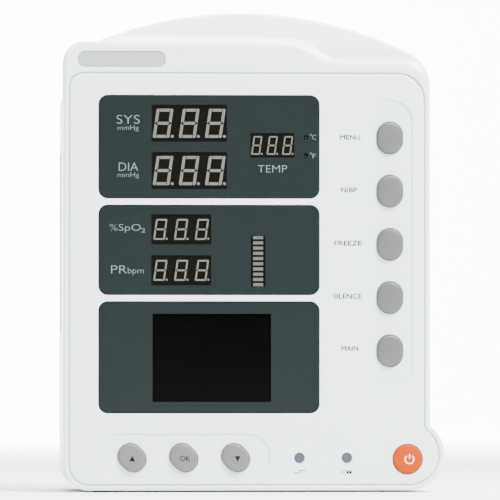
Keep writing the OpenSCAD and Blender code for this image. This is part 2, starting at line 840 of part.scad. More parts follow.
// Soft tube from the pump by way of the valve's branch to the cuff socket.
module air_tubes() {
    tube_r = 2.8;
    route = [[-14, 50, 24], [-3, 50, 24], [-3, 50, 75], [-66, 68, 110], [-66, 68, 146], [-71, 68, 146]];
    branch = [[-3, 50, 24], [-3, 50, 15], [4, 50, 15]];
    color("lightgray") difference() {
        union() {
            tube(route, tube_r);
            tube(branch, tube_r);
        }
        cross_rod(-15, -8, 50, 24, 2.02);
        cross_rod(1, 5, 50, 15, 2.02);
        cross_rod(-80, -68.6, 68, 146, 2.42);
    }
}

module tube(points, r) {
    for (i = [0:len(points) - 2]) {
        p = points[i];
        q = points[i + 1];
        v = q - p;
        translate([p[0], face_y + p[1], base_z + p[2]])
            rotate([0, acos(v[2] / norm(v)), atan2(v[1], v[0])])
                cylinder(r = r, h = norm(v));
        if (i > 0) translate([p[0], face_y + p[1], base_z + p[2]]) sphere(r + 0.1);
    }
}

module speaker() {
    color(black) {
        cross_rod(body_right - wall - 5, body_right - wall, speaker_d, speaker_z, speaker_r);
        cross_rod(body_right - wall - 14, body_right - wall - 5, speaker_d, speaker_z, 9);
    }
}

// ---- sockets -------------------------------------------------------------

// Panel socket along X: flange in the bay, body through its wall, nut inside.
module socket(z, flange_r, bore_r, bore_deep, tail) {
    x0 = -case_w / 2 + 1.5;
    difference() {
        union() {
            cross_rod(x0, port_floor, port_d, z, flange_r);
            cross_rod(port_floor - 0.5, port_floor + 9, port_d, z, 5.5);
            cross_rod(port_floor + wall, port_floor + wall + 3, port_d, z, 7.5);
            cross_rod(port_floor + 8, port_floor + tail, port_d, z, 2.4);
        }
        cross_rod(x0 - 1, x0 + bore_deep, port_d, z, bore_r);
    }
}

module nibp_socket() color("silver") socket(ports[0], 7.5, 3, 12, 18);
module spo2_socket() color("royalblue") socket(ports[1], 8.5, 4.6, 9, 14);
module temp_socket() color(grey) socket(ports[2], 7, 3.2, 12, 14);

module mains_inlet() {
    floor_d = inlet_floor_d;
    color(black) difference() {
        union() {
            slab(floor_d, floor_d + 2.5) rounded(inlet_x, inlet_z, 48, 24, 5);
            slab(floor_d - 18, floor_d + 0.5) rounded(inlet_x, inlet_z, 27, 19.5, 2);
        }
        slab(floor_d - 15, floor_d + 3) translate([inlet_x, inlet_z])
            square([23.6, 16], center = true);
        for (p = inlet_fixings) rod(p[0], p[1], 1.5, floor_d - 1, floor_d + 3);
    }
    // blades
    color("silver") {
        for (i = [-1, 1]) block(inlet_x + 7 * i - 1, inlet_x + 7 * i + 1,
            floor_d - 16, floor_d - 1, inlet_z + 0.6, inlet_z + 4.6);
        block(inlet_x - 1, inlet_x + 1, floor_d - 16, floor_d, inlet_z + 2.6, inlet_z + 6.6);
    }
}

module earth_post() {
    floor_d = inlet_floor_d;
    color("goldenrod") {
        rod(earth_x, inlet_z, 5, floor_d, floor_d + 1.5);
        rod(earth_x, inlet_z, 3, floor_d + 1.5, floor_d + 10.5);
        rod(earth_x, inlet_z, 2.5, floor_d - 8, floor_d);
        rod(earth_x, inlet_z, 3.6, floor_d - wall - 3, floor_d - wall);
    }
}

front_shell();
front_panel();
rear_shell();
shell_seal();
alarm_lens();
alarm_board();
window_plate(windows[0]);  // window_upper
window_plate(windows[1]);  // window_middle
window_plate(windows[2]);  // window_lower
lamp_lenses();
case_screws();
small_screws();
rubber_feet();
mount_inserts();
battery_cover();
battery_pack();
for (i = [0:8]) {
    key_cap(i);
    plunger(i);
}
tact_switches();
display_board();
indicator_leds();
led_case(digit_displays[0]);  // led_sys
led_case(digit_displays[1]);  // led_dia
led_case(digit_displays[2]);  // led_temp
led_case(digit_displays[3]);  // led_spo2
led_case(digit_displays[4]);  // led_pulse
led_segments();
pulse_bar();
pulse_bar_segments();
lcd_frame();
lcd_panel();
main_board();
ribbon_cable();
power_supply();
pump_motor();
pump_head();
air_valve();
air_tubes();
speaker();
nibp_socket();
spo2_socket();
temp_socket();
mains_inlet();
earth_post();
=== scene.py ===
import json
import math
import bmesh
import bpy
import numpy as np
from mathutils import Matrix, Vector


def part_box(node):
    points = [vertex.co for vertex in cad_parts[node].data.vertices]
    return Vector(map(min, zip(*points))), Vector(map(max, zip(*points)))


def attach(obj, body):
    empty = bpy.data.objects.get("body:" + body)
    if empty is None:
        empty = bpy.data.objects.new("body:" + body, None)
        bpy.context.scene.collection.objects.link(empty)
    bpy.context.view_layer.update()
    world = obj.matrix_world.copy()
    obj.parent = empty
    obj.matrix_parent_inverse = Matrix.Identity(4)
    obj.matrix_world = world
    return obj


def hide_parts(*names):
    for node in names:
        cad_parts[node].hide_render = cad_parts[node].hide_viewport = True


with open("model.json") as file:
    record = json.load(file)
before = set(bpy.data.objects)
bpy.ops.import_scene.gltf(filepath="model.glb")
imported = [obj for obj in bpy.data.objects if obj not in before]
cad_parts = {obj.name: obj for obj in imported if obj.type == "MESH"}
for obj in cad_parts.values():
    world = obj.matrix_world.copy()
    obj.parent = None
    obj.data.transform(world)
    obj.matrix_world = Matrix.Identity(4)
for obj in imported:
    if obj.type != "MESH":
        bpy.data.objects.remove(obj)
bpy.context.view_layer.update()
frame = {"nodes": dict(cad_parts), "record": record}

# A white table-top vital signs monitor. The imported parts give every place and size;
# this script rounds their edges, prints the lettering and finishes the surfaces.

mm = 0.001
nodes = frame["nodes"]
caseLow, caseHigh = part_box("front_shell")
faceY = caseLow.y  # front face of the case
caseBottom = caseLow.z  # the feet lift the case this far
weldDist = 2e-6  # metres: packed corners nearer than this are one
print("frame loaded", len(nodes), "nodes")


# Front-view place in millimetres to metres in the frame: x stays, y is the face plus the depth,
# z is the case's bottom plus the height.
def place(x, z, depth):
    x, z, depth = np.broadcast_arrays(x, z, depth)
    return np.stack([x * mm, faceY + depth * mm, caseBottom + z * mm], axis=-1)


# Centre of a node's box, as x and z in millimetres from the case's bottom centre.
def centreOf(name):
    low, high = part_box(name)
    return (low.x + high.x) / 2 / mm, ((low.z + high.z) / 2 - caseBottom) / mm


# Closed outline through arcs, each centre x, centre z, radius, start and end angle, with
# straight runs between them. A point is the centre plus the radius along its ray, and its normal
# is the ray, turned round on a hollow arc, which runs clockwise. Gives points and normals.
def tracePath(arcs, stepMm=1.0, turnDeg=7.0):
    runStep = stepMm * 2.5  # straight runs need fewer points
    samePoint = 1e-4
    points, normals = [], []
    for i, (cx, cz, radius, start, end) in enumerate(arcs):
        turn = math.radians(end - start)
        count = max(2, int(math.ceil(max(abs(turn) * radius / stepMm,
                                         abs(end - start) / turnDeg))) + 1)
        angles = math.radians(start) + np.linspace(0, 1, count) * turn
        ray = np.stack([np.cos(angles), np.sin(angles)], axis=1)
        arc = np.array([cx, cz]) + radius * ray
        normal = ray if turn > 0 else -ray
        points.append(arc)
        normals.append(normal)
        nx, nz, nr, nStart, nEnd = arcs[(i + 1) % len(arcs)]
        nextPoint = np.array([nx + nr * math.cos(math.radians(nStart)),
                              nz + nr * math.sin(math.radians(nStart))])
        run = np.linalg.norm(nextPoint - arc[-1])
        steps = int(run / runStep)
        if steps > 1:
            share = np.linspace(0, 1, steps + 1)[1:-1, None]
            points.append(arc[-1] + (nextPoint - arc[-1]) * share)
            normals.append(np.repeat(normal[-1:], steps - 1, axis=0))
    points, normals = np.concatenate(points), np.concatenate(normals)
    keep = np.linalg.norm(points - np.roll(points, 1, axis=0), axis=1) > samePoint
    return points[keep], normals[keep]


# Rectangle with round corners as a path: four quarter arcs, centred a radius in from the sides.
def roundedPath(x, z, width, height, radius, stepMm=1.0):
    a, b = width / 2 - radius, height / 2 - radius
    return tracePath([(x - a, z - b, radius, 180, 270), (x + a, z - b, radius, 270, 360),
                      (x + a, z + b, radius, 0, 90), (x - a, z + b, radius, 90, 180)], stepMm)


# Two half rounds joined by a straight run of twice half, turned by angle degrees.
def ovalPath(x, z, radius, half, angle, stepMm=0.5):
    dx, dz = half * math.cos(math.radians(angle)), half * math.sin(math.radians(angle))
    return tracePath([(x + dx, z + dz, radius, angle - 90, angle + 90),
                      (x - dx, z - dz, radius, angle + 90, angle + 270)], stepMm)


# One loop: each point less its normal times the inset, laid at a depth, which may differ point
# by point.
def loopAt(path, inset, depth):
    points, normals = path
    moved = points - normals * inset
    return place(moved[:, 0], moved[:, 1], depth)


# Mesh object from vertices and faces, in metres and with the object at the origin.
def meshObject(name, verts, faces):
    mesh = bpy.data.meshes.new(name)
    mesh.from_pydata(np.asarray(verts).reshape(-1, 3), [], faces)
    mesh.update()
    piece = bpy.data.objects.new(name, mesh)
    bpy.context.scene.collection.objects.link(piece)
    smoothByAngle(piece)
    return piece


# Smooth shading, but flat on faces square to the axes, so their long triangles don't show.
def smoothByAngle(piece, smoothDeg=35):
    mesh = piece.data
    if "custom_normal" in mesh.attributes:
        mesh.attributes.remove(mesh.attributes["custom_normal"])
    mesh.shade_smooth()
    mesh.set_sharp_from_angle(angle=math.radians(smoothDeg))
    normals = np.empty(len(mesh.polygons) * 3)
    mesh.polygons.foreach_get("normal", normals)
    squareCosine = 0.999995
    square = np.abs(normals.reshape(-1, 3)).max(axis=1) > squareCosine
    mesh.polygons.foreach_set("use_smooth", ~square)
    mesh.update()


# Faces over a stack of loops of equal length. The ends are closed by fans round a middle point,
# or joined to each other when ring is true. Loops run counter-clockwise from front to back.
def loopFaces(loopCount, pointCount, ring=False):
    rows = np.arange(loopCount if ring else loopCount - 1)[:, None]
    cols = np.arange(pointCount)[None, :]
    nextRow = (rows + 1) % loopCount
    nextCol = (cols + 1) % pointCount
    quads = np.stack([rows * pointCount + cols, rows * pointCount + nextCol,
                      nextRow * pointCount + nextCol, nextRow * pointCount + cols], axis=-1)
    faces = quads.reshape(-1, 4)[:, ::-1].tolist()
    if not ring:
        last, middle = (loopCount - 1) * pointCount, loopCount * pointCount
        here, beside = np.arange(pointCount), (np.arange(pointCount) + 1) % pointCount
        front = np.stack([here, beside, np.full(pointCount, middle)], axis=-1)
        back = np.stack([last + beside, last + here, np.full(pointCount, middle + 1)], axis=-1)
        faces += np.stack([front, back], axis=1).reshape(-1, 3).tolist()
    return faces


# Surface through a stack of loops: point j of loop i joins point j of loop i + 1, and each end
# point is the mean of its loop.
def skin(name, loops, ring=False):
    loops = np.array(loops)
    verts = loops.reshape(-1, 3)
    if not ring:
        verts = np.concatenate([verts, [loops[0].mean(0), loops[-1].mean(0)]])
    return meshObject(name, verts, loopFaces(len(loops), loops.shape[1], ring))


# Solid with a rounded front edge. Round the edge, for an angle a from 0 to 90 degrees, the inset
# is edge x (1 - sin a) and the depth grows by edge x (1 - cos a). On a crown the depth is
# crown x share squared, for a share of the run out from the middle.
def roundedSolid(name, path, front, back, edge, skinMm=0.0, crown=0.0, crownRun=0.0):
    steps, crownSteps, crownStart = 6, 6, 0.04
    loops = []
    if crown > 0:
        for share in np.linspace(crownStart, 1, crownSteps + 1)[:-1]:
            inset = crownRun - (crownRun - edge) * share
            loops.append(loopAt(path, skinMm + inset, front + crown * share ** 2))
    for angle in np.linspace(0, math.pi / 2, steps + 1):
        loops.append(loopAt(path, skinMm + edge * (1 - math.sin(angle)),
                            front + crown + edge * (1 - math.cos(angle))))
    loops.append(loopAt(path, skinMm, back))
    return skin(name, loops)


# Ring that trims the corner where a hole inside the path meets a face. It leaves a round: for an
# angle a, the inset is radius x (sin a - 1) and the depth grows by radius x (1 - cos a).
def cornerRing(name, path, depth, radius):
    over, lift, steps = 0.4, 1.0, 5  # reach into the hole, and up from the face
    profile = [(over, -lift), (-radius, -lift)]
    for angle in np.linspace(0, math.pi / 2, steps + 1):
        profile.append((-radius + radius * math.sin(angle), radius - radius * math.cos(angle)))
    profile.append((over, radius))
    return skin(name, [loopAt(path, inset, depth + down) for inset, down in profile], ring=True)


# Band that fills the gap beside an edge, so light meets a floor there: a rectangle carried along
# the path, from a root inside the piece out to the reach, and from the depth start to end.
def gapBand(name, path, reach, start, end):
    root = 0.5
    profile = [(root, start), (-reach, start), (-reach, end), (root, end)]
    return skin(name, [loopAt(path, inset, depth) for inset, depth in profile], ring=True)


# Welded copy of a node's mesh, which the node itself keeps unchanged.
def copyNode(name):
    mesh = nodes[name].data.copy()
    mesh.name = name + "_shape"
    piece = bpy.data.objects.new(name + "_shape", mesh)
    bpy.context.scene.collection.objects.link(piece)
    work = bmesh.new()
    work.from_mesh(mesh)
    bmesh.ops.remove_doubles(work, verts=work.verts, dist=weldDist)
    work.to_mesh(mesh)
    work.free()
    mesh.materials.clear()
    return piece


# Applies one boolean after another and removes the tools.
def carve(piece, tools, operation="DIFFERENCE"):
    for tool in tools:
        step = piece.modifiers.new("cut", "BOOLEAN")
        step.operation = operation
        step.solver = "MANIFOLD"
        step.object = tool
        applyModifiers(piece)
        toolMesh = tool.data
        bpy.data.objects.remove(tool)
        bpy.data.meshes.remove(toolMesh)
    return piece


# Puts the mesh that the modifiers give in place of the piece's own.
def applyModifiers(piece):
    bpy.context.view_layer.update()
    graph = bpy.context.evaluated_depsgraph_get()
    mesh = bpy.data.meshes.new_from_object(piece.evaluated_get(graph))
    old = piece.data
    piece.modifiers.clear()
    piece.data = mesh
    bpy.data.meshes.remove(old)


# Ends a piece: its shading, its material, its body and the nodes it stands for.
def finishPiece(piece, name, body, slot, *replaced):
    piece.name = name
    piece.data.name = name
    smoothByAngle(piece, smoothDeg=38)
    piece.data.materials.clear()
    piece.data.materials.append(finishes[slot])
    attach(piece, body)
    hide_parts(*replaced)


# sRGB hex to linear red, green, blue and full alpha: v / 12.92 up to 0.04045, and above it
# ((v + 0.055) / 1.055) to the power 2.4.
def linear(hexColour):
    values = np.array([int(hexColour[i:i + 2], 16) / 255 for i in (1, 3, 5)])
    values = np.where(values <= 0.04045, values / 12.92, ((values + 0.055) / 1.055) ** 2.4)
    return (*values.tolist(), 1.0)


# Adds a node with its settings, and links or sets its inputs.
def addNode(tree, kind, settings=None, inputs=None):
    made = tree.nodes.new(kind)
    for key, value in (settings or {}).items():
        setattr(made, key, value)
    for key, value in (inputs or {}).items():
        if isinstance(value, bpy.types.NodeSocket):
            tree.links.new(value, made.inputs[key])
        else:
            made.inputs[key].default_value = value
    return made


# New material with its shader. Gives the node tree, the shader and the object coordinates too.
def newMaterial(name, shaderValues):
    material = bpy.data.materials.new(name)
    material.use_nodes = True
    tree = material.node_tree
    tree.nodes.clear()
    shader = addNode(tree, "ShaderNodeBsdfPrincipled", None, shaderValues)
    addNode(tree, "ShaderNodeOutputMaterial", None, {"Surface": shader.outputs[0]})
    where = addNode(tree, "ShaderNodeTexCoord").outputs["Object"]
    return material, tree, shader, where


# Moulded plastic: the colour drifts a little with slow noise, as regrind and flow do, and fine
# grain from the tool's spark-eroded surface gives the bump and spreads the roughness.
def mouldedPlastic(name, look):
    values = {"IOR": look.get("ior", 1.53), "Specular IOR Level": look.get("specular", 0.5)}
    material, tree, shader, where = newMaterial(name, values)
    slow = addNode(tree, "ShaderNodeTexNoise", None,
                   {"Vector": where, "Scale": 1 / (look["driftMm"] * mm), "Detail": 3.0})
    colour = addNode(tree, "ShaderNodeMix", {"data_type": "RGBA"},
                     {"Factor": slow.outputs["Fac"], "A": linear(look["colour"]),
                      "B": linear(look["tint"])})
    grain = addNode(tree, "ShaderNodeTexNoise", None,
                    {"Vector": where, "Scale": 1 / (look["grainMm"] * mm), "Detail": 2.0})
    rough = addNode(tree, "ShaderNodeMapRange", None,
                    {"Value": grain.outputs["Fac"], "From Min": 0.3, "From Max": 0.7,
                     "To Min": look["rough"] - look["spread"],
                     "To Max": look["rough"] + look["spread"]})
    bump = addNode(tree, "ShaderNodeBump", None,
                   {"Height": grain.outputs["Fac"], "Strength": look["bump"],
                    "Distance": look["grainMm"] * mm * 0.2})
    tree.links.new(colour.outputs["Result"], shader.inputs["Base Color"])
    tree.links.new(rough.outputs["Result"], shader.inputs["Roughness"])
    tree.links.new(bump.outputs["Normal"], shader.inputs["Normal"])
    return material


# Plated or turned metal: streaks of uneven brightness run along one axis and vary the roughness.
def streakedMetal(name, look):
    material, tree, shader, where = newMaterial(name, {"Metallic": 1.0})
    stretch = addNode(tree, "ShaderNodeMapping", None,
                      {"Vector": where, "Scale": look["stretch"]})
    streak = addNode(tree, "ShaderNodeTexNoise", None,
                     {"Vector": stretch.outputs["Vector"],
                      "Scale": 1 / (look["streakMm"] * mm), "Detail": 4.0})
    colour = addNode(tree, "ShaderNodeMix", {"data_type": "RGBA"},
                     {"Factor": streak.outputs["Fac"], "A": linear(look["colour"]),
                      "B": linear(look["tint"])})
    rough = addNode(tree, "ShaderNodeMapRange", None,
                    {"Value": streak.outputs["Fac"], "To Min": look["rough"] - 0.08,
                     "To Max": look["rough"] + 0.12})
    tree.links.new(colour.outputs["Result"], shader.inputs["Base Color"])
    tree.links.new(rough.outputs["Result"], shader.inputs["Roughness"])
    return material


# Glass-epoxy circuit board under green solder mask: copper runs show as lighter lines on a
# brick-like grid, with the weave of the glass cloth below.
def solderMask(name, look):
    material, tree, shader, where = newMaterial(name, {"IOR": 1.55, "Coat Weight": 0.4,
                                                       "Coat Roughness": 0.15})
    turned = addNode(tree, "ShaderNodeMapping", None, {"Vector": where,
                                                       "Rotation": (math.pi / 2, 0, 0)})
    runs = addNode(tree, "ShaderNodeTexBrick", None,
                   {"Vector": turned.outputs["Vector"], "Scale": 1 / (look["runMm"] * mm),
                    "Color1": linear(look["colour"]), "Color2": linear(look["tint"]),
                    "Mortar": linear(look["copper"]), "Mortar Size": 0.05,
                    "Brick Width": 1.6, "Row Height": 0.4})
    weave = addNode(tree, "ShaderNodeTexNoise", None,
                    {"Vector": where, "Scale": 1 / (look["weaveMm"] * mm)})
    rough = addNode(tree, "ShaderNodeMapRange", None,
                    {"Value": weave.outputs["Fac"], "To Min": 0.3, "To Max": 0.5})
    tree.links.new(runs.outputs["Color"], shader.inputs["Base Color"])
    tree.links.new(rough.outputs["Result"], shader.inputs["Roughness"])
    return material


finishes = {}

# Moulded ABS of the case: cool white and satin, so wide soft highlights lie along its rounds.
finishes["case_plastic"] = mouldedPlastic("moulded ABS, cool white", {
    "colour": "#E0EAEE", "tint": "#DBE6EA", "driftMm": 60, "grainMm": 0.8, "bump": 0.03,
    "rough": 0.30, "spread": 0.03})
# The panel is a second moulding, a shade greyer than the case round it.
finishes["panel_plastic"] = mouldedPlastic("moulded ABS, panel white", {
    "colour": "#DEE8EC", "tint": "#D9E4E9", "driftMm": 50, "grainMm": 0.8, "bump": 0.03,
    "rough": 0.30, "spread": 0.03})
# Acrylic plate printed slate grey behind: dark and even, with a smooth face and little glare.
finishes["window_acrylic"] = mouldedPlastic("acrylic printed slate grey", {
    "colour": "#191F1F", "tint": "#171D1D", "driftMm": 45, "grainMm": 1.5, "bump": 0.0,
    "rough": 0.16, "spread": 0.02, "ior": 1.49, "specular": 0.08})
# Frosted lenses: a milky grey over an unlit lamp, and a tinted one that looks nearly black.
finishes["alarm_lens_plastic"] = mouldedPlastic("frosted polycarbonate", {
    "colour": "#969B9E", "tint": "#92979A", "driftMm": 20, "grainMm": 0.5, "bump": 0.06,
    "rough": 0.42, "spread": 0.04, "ior": 1.58})
finishes["lamp_plastic"] = mouldedPlastic("tinted polycarbonate", {
    "colour": "#2F3841", "tint": "#2B343D", "driftMm": 3, "grainMm": 0.4, "bump": 0.04,
    "rough": 0.30, "spread": 0.04, "ior": 1.58})
# Keys moulded with a spark-eroded skin: grain a third of a millimetre across dulls their domes.
finishes["side_key_plastic"] = mouldedPlastic("spark-textured ABS, grey", {
    "colour": "#494C48", "tint": "#464945", "driftMm": 6, "grainMm": 0.35, "bump": 0.25,
    "rough": 0.50, "spread": 0.05})
finishes["nav_key_plastic"] = mouldedPlastic("spark-textured ABS, light grey", {
    "colour": "#595856", "tint": "#555453", "driftMm": 6, "grainMm": 0.35, "bump": 0.25,
    "rough": 0.50, "spread": 0.05})
finishes["power_key_plastic"] = mouldedPlastic("spark-textured ABS, orange", {
    "colour": "#A03A00", "tint": "#983500", "driftMm": 6, "grainMm": 0.35, "bump": 0.2,
    "rough": 0.45, "spread": 0.05, "specular": 0.08})
# Rubber is rough and dull all over, and glass-filled nylon shows its fibres as uneven gloss.
finishes["rubber_black"] = mouldedPlastic("moulded black rubber", {
    "colour": "#1B1B1C", "tint": "#232324", "driftMm": 4, "grainMm": 0.4, "bump": 0.5,
    "rough": 0.75, "spread": 0.08, "ior": 1.52})
finishes["black_nylon"] = mouldedPlastic("glass-filled nylon, black", {
    "colour": "#17181A", "tint": "#1E1F22", "driftMm": 5, "grainMm": 0.5, "bump": 0.3,
    "rough": 0.55, "spread": 0.08})
# The digits' cases have inked faces that swallow light, and their unlit segments stay warm grey.
finishes["led_case_plastic"] = mouldedPlastic("black polycarbonate, inked face", {
    "colour": "#020201", "tint": "#030302", "driftMm": 6, "grainMm": 0.4, "bump": 0.05,
    "rough": 0.55, "spread": 0.05, "specular": 0.05})
finishes["segment_epoxy"] = mouldedPlastic("diffused epoxy, unlit", {
    "colour": "#4C4B42", "tint": "#46453D", "driftMm": 1.2, "grainMm": 0.25, "bump": 0.1,
    "rough": 0.45, "spread": 0.05, "ior": 1.55})
finishes["bar_epoxy"] = mouldedPlastic("diffused epoxy, grey", {
    "colour": "#403F3C", "tint": "#3A3A37", "driftMm": 1.5, "grainMm": 0.25, "bump": 0.1,
    "rough": 0.45, "spread": 0.05, "ior": 1.55})
# Clear epoxy gives a small LED a sharp glint over its dark cup.
finishes["led_epoxy"] = mouldedPlastic("clear epoxy over a dark cup", {
    "colour": "#1A2022", "tint": "#0F1314", "driftMm": 1, "grainMm": 0.3, "bump": 0.0,
    "rough": 0.12, "spread": 0.02, "ior": 1.55})
# Polished glass over a dark liquid crystal cell: smooth, with an even dark depth.
finishes["lcd_glass"] = mouldedPlastic("polished display glass, dark", {
    "colour": "#020202", "tint": "#030302", "driftMm": 30, "grainMm": 1, "bump": 0.0,
    "rough": 0.14, "spread": 0.02, "ior": 1.50, "specular": 0.05})
# Inside the case: shrunk wrap puckers a little, vinyl has fine ribs, and silicone is milky.
finishes["battery_wrap"] = mouldedPlastic("heat-shrink wrap, blue black", {
    "colour": "#2A3140", "tint": "#222937", "driftMm": 12, "grainMm": 1.2, "bump": 0.15,
    "rough": 0.35, "spread": 0.06})
finishes["cable_vinyl"] = mouldedPlastic("ribbed grey vinyl", {
    "colour": "#A3A5A3", "tint": "#999B99", "driftMm": 8, "grainMm": 0.6, "bump": 0.2,
    "rough": 0.5, "spread": 0.05})
finishes["tube_silicone"] = mouldedPlastic("silicone rubber, milky", {
    "colour": "#CDD0CD", "tint": "#C3C7C4", "driftMm": 9, "grainMm": 0.6, "bump": 0.05,
    "rough": 0.4, "spread": 0.05, "ior": 1.42})
# The cuff and probe sockets are told apart by the colour of their nylon.
finishes["socket_blue"] = mouldedPlastic("moulded nylon, blue", {
    "colour": "#234A8C", "tint": "#1F4380", "driftMm": 5, "grainMm": 0.4, "bump": 0.15,
    "rough": 0.42, "spread": 0.05})
# Metals: the plating or the turning tool leaves fine streaks that stretch the highlights.
finishes["steel"] = streakedMetal("zinc-plated steel", {
    "colour": "#C4C6C8", "tint": "#A9ACAF", "streakMm": 0.6, "stretch": (1, 0.1, 1),
    "rough": 0.3})
finishes["zinc_plate"] = streakedMetal("zinc-plated sheet", {
    "colour": "#BFC2C4", "tint": "#A5A9AC", "streakMm": 1.2, "stretch": (0.1, 1, 1),
    "rough": 0.35})
finishes["nickel"] = streakedMetal("nickel-plated brass", {
    "colour": "#CFCBC2", "tint": "#B9B4AA", "streakMm": 0.5, "stretch": (0.1, 1, 1),
    "rough": 0.22})
finishes["brass"] = streakedMetal("turned brass", {
    "colour": "#C9A45A", "tint": "#B08D46", "streakMm": 0.5, "stretch": (1, 0.1, 1),
    "rough": 0.28})
# Circuit board: green mask with a soft gloss, and copper runs 2.5 mm apart shining through.
finishes["board_laminate"] = solderMask("solder-masked laminate", {
    "colour": "#14502E", "tint": "#124A2A", "copper": "#2B7A48", "runMm": 2.5, "weaveMm": 0.4})
# Screen-printed inks lie on the plastic as a thin dull film, one colour for each ground.
plateInk = mouldedPlastic("screen ink, light grey", {
    "colour": "#667073", "tint": "#606A6D", "driftMm": 5, "grainMm": 0.3, "bump": 0.05,
    "rough": 0.55, "spread": 0.04})
panelInk = mouldedPlastic("screen ink, black", {
    "colour": "#030303", "tint": "#020202", "driftMm": 5, "grainMm": 0.3, "bump": 0.05,
    "rough": 0.6, "spread": 0.04, "specular": 0.03})
keyInk = mouldedPlastic("screen ink, soft black", {
    "colour": "#0E0F0F", "tint": "#0C0D0D", "driftMm": 5, "grainMm": 0.3, "bump": 0.05,
    "rough": 0.6, "spread": 0.04, "specular": 0.1})
powerInk = mouldedPlastic("screen ink, cream", {
    "colour": "#FBE3CF", "tint": "#F7DCC6", "driftMm": 5, "grainMm": 0.3, "bump": 0.05,
    "rough": 0.5, "spread": 0.04})

slotOf = {entry["node"]: entry["material_slot"] for entry in frame["record"]["subparts"]}
for name, piece in nodes.items():
    piece.data.materials.clear()
    piece.data.materials.append(finishes[slotOf[name]])
print("materials made", len(bpy.data.materials))


# The case's outline in millimetres. "face" and "skin", here and below, are how far a new face
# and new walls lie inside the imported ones.
caseShape = {
    "left": caseLow.x / mm, "right": 85.8, "cornerLow": 12.5, "cornerHigh": 10.0,
    "shoulder": 218.4, "lobe": 17.6, "lobeFillet": 1.0, "archRadius": 183.0, "archX": -6.0,
    "archEnd": 18.0, "shoulderFillet": 6.0, "edge": 1.5, "skin": 0.08, "face": 0.03,
    "overlap": 2.0, "rings": 45, "roundSteps": 8, "wallDepths": (14, 20, 31)}
# How the arch leans back: a soft step along its lower line, then a slope from one height up. It
# fades in from the left and from below, each over a run.
archLook = {
    "lineX": [-95, -75, 17.0, 22.0, 35.0, 41.0, 72],
    "lineZ": [216.4, 216.2, 215.4, 214.4, 206.9, 206.1, 206.0],
    "endX": 72.0, "endZ": 193.8, "endRadius": 12.2, "step": 1.7, "run": 5.5, "slope": 0.31,
    "slopeZ": 214.5, "slopeBlend": 1.2, "soften": 3.0, "samples": 13,
    "fadeX": -84, "fadeRunX": 14, "fadeZ": 188, "fadeRunZ": 16}
grooveLook = {"outward": 0.45, "radius": 0.8}


# Arcs of the outline, counter-clockwise from the lower left corner. Two arcs that touch have
# their centres the sum of the radii apart on a hollow, or their difference inside a round, which
# gives the missing coordinate by Pythagoras and the angle where they meet by the arctangent.
def caseArcs(look):
    height = (caseHigh.z - caseBottom) / mm
    lobeX = caseHigh.x / mm - look["lobe"]
    archZ = height - look["archRadius"]
    endX = look["right"] - look["archEnd"]
    reach = look["archRadius"] - look["archEnd"]
    endZ = archZ + math.sqrt(reach ** 2 - (endX - look["archX"]) ** 2)
    endTurn = math.degrees(math.atan2(endZ - archZ, endX - look["archX"]))
    filletX = look["right"] + look["lobeFillet"]
    reach = look["lobe"] + look["lobeFillet"]
    filletZ = look["lobe"] + math.sqrt(reach ** 2 - (filletX - lobeX) ** 2)
    lobeTurn = math.degrees(math.atan2(filletZ - look["lobe"], filletX - lobeX))
    hollowZ = look["shoulder"] + look["shoulderFillet"]
    reach = look["archRadius"] + look["shoulderFillet"]
    hollowX = look["archX"] - math.sqrt(reach ** 2 - (hollowZ - archZ) ** 2)
    hollowTurn = math.degrees(math.atan2(hollowZ - archZ, hollowX - look["archX"]))
    return [
        (look["left"] + look["cornerLow"], look["cornerLow"], look["cornerLow"], 180, 270),
        (lobeX, look["lobe"], look["lobe"], -90, lobeTurn),
        (filletX, filletZ, look["lobeFillet"], lobeTurn + 180, 180),
        (endX, endZ, look["archEnd"], 0, endTurn),
        (look["archX"], archZ, look["archRadius"], endTurn, hollowTurn),
        (hollowX, hollowZ, look["shoulderFillet"], hollowTurn + 180, 270),
        (look["left"] + look["cornerHigh"], look["shoulder"] - look["cornerHigh"],
         look["cornerHigh"], 90, 180)]


# Smooth ramp from 0 to 1: the value squared times 3 less twice the value.
def ease(value):
    value = np.clip(value, 0, 1)
    return value * value * (3 - 2 * value)


# Depth of the leaning surface: the distance beyond the softened lower line, square to it, or
# beyond the end circle, goes through the smooth ramp. It carries the step plus the slope times
# the height above slopeZ, whose start is softened as log(1 + exp).
def archDepth(x, z, look):
    heights = [np.interp(x + shift, look["lineX"], look["lineZ"])
               for shift in np.linspace(-look["soften"], look["soften"], look["samples"])]
    lean = (heights[-1] - heights[0]) / (2 * look["soften"])
    beyond = (z - sum(heights) / look["samples"]) / np.sqrt(1 + lean ** 2)
    corner = np.hypot(x - look["endX"], z - look["endZ"]) - look["endRadius"]
    beyond = np.where(x > look["endX"], corner, beyond)
    beyond = np.where((x > look["endX"]) & (z < look["endZ"]), -1.0, beyond)
    fade = (ease((x - look["fadeX"]) / look["fadeRunX"])
            * ease((z - look["fadeZ"]) / look["fadeRunZ"]))
    blend = look["slopeBlend"]
    rise = np.log1p(np.exp((z - look["slopeZ"]) / blend)) * blend
    return ease(beyond / look["run"]) * (look["step"] + look["slope"] * rise) * fade


panelShape = {"rim": 2.9, "top": 202.9, "cornerLeft": 7.0, "cornerRight": 13.2}


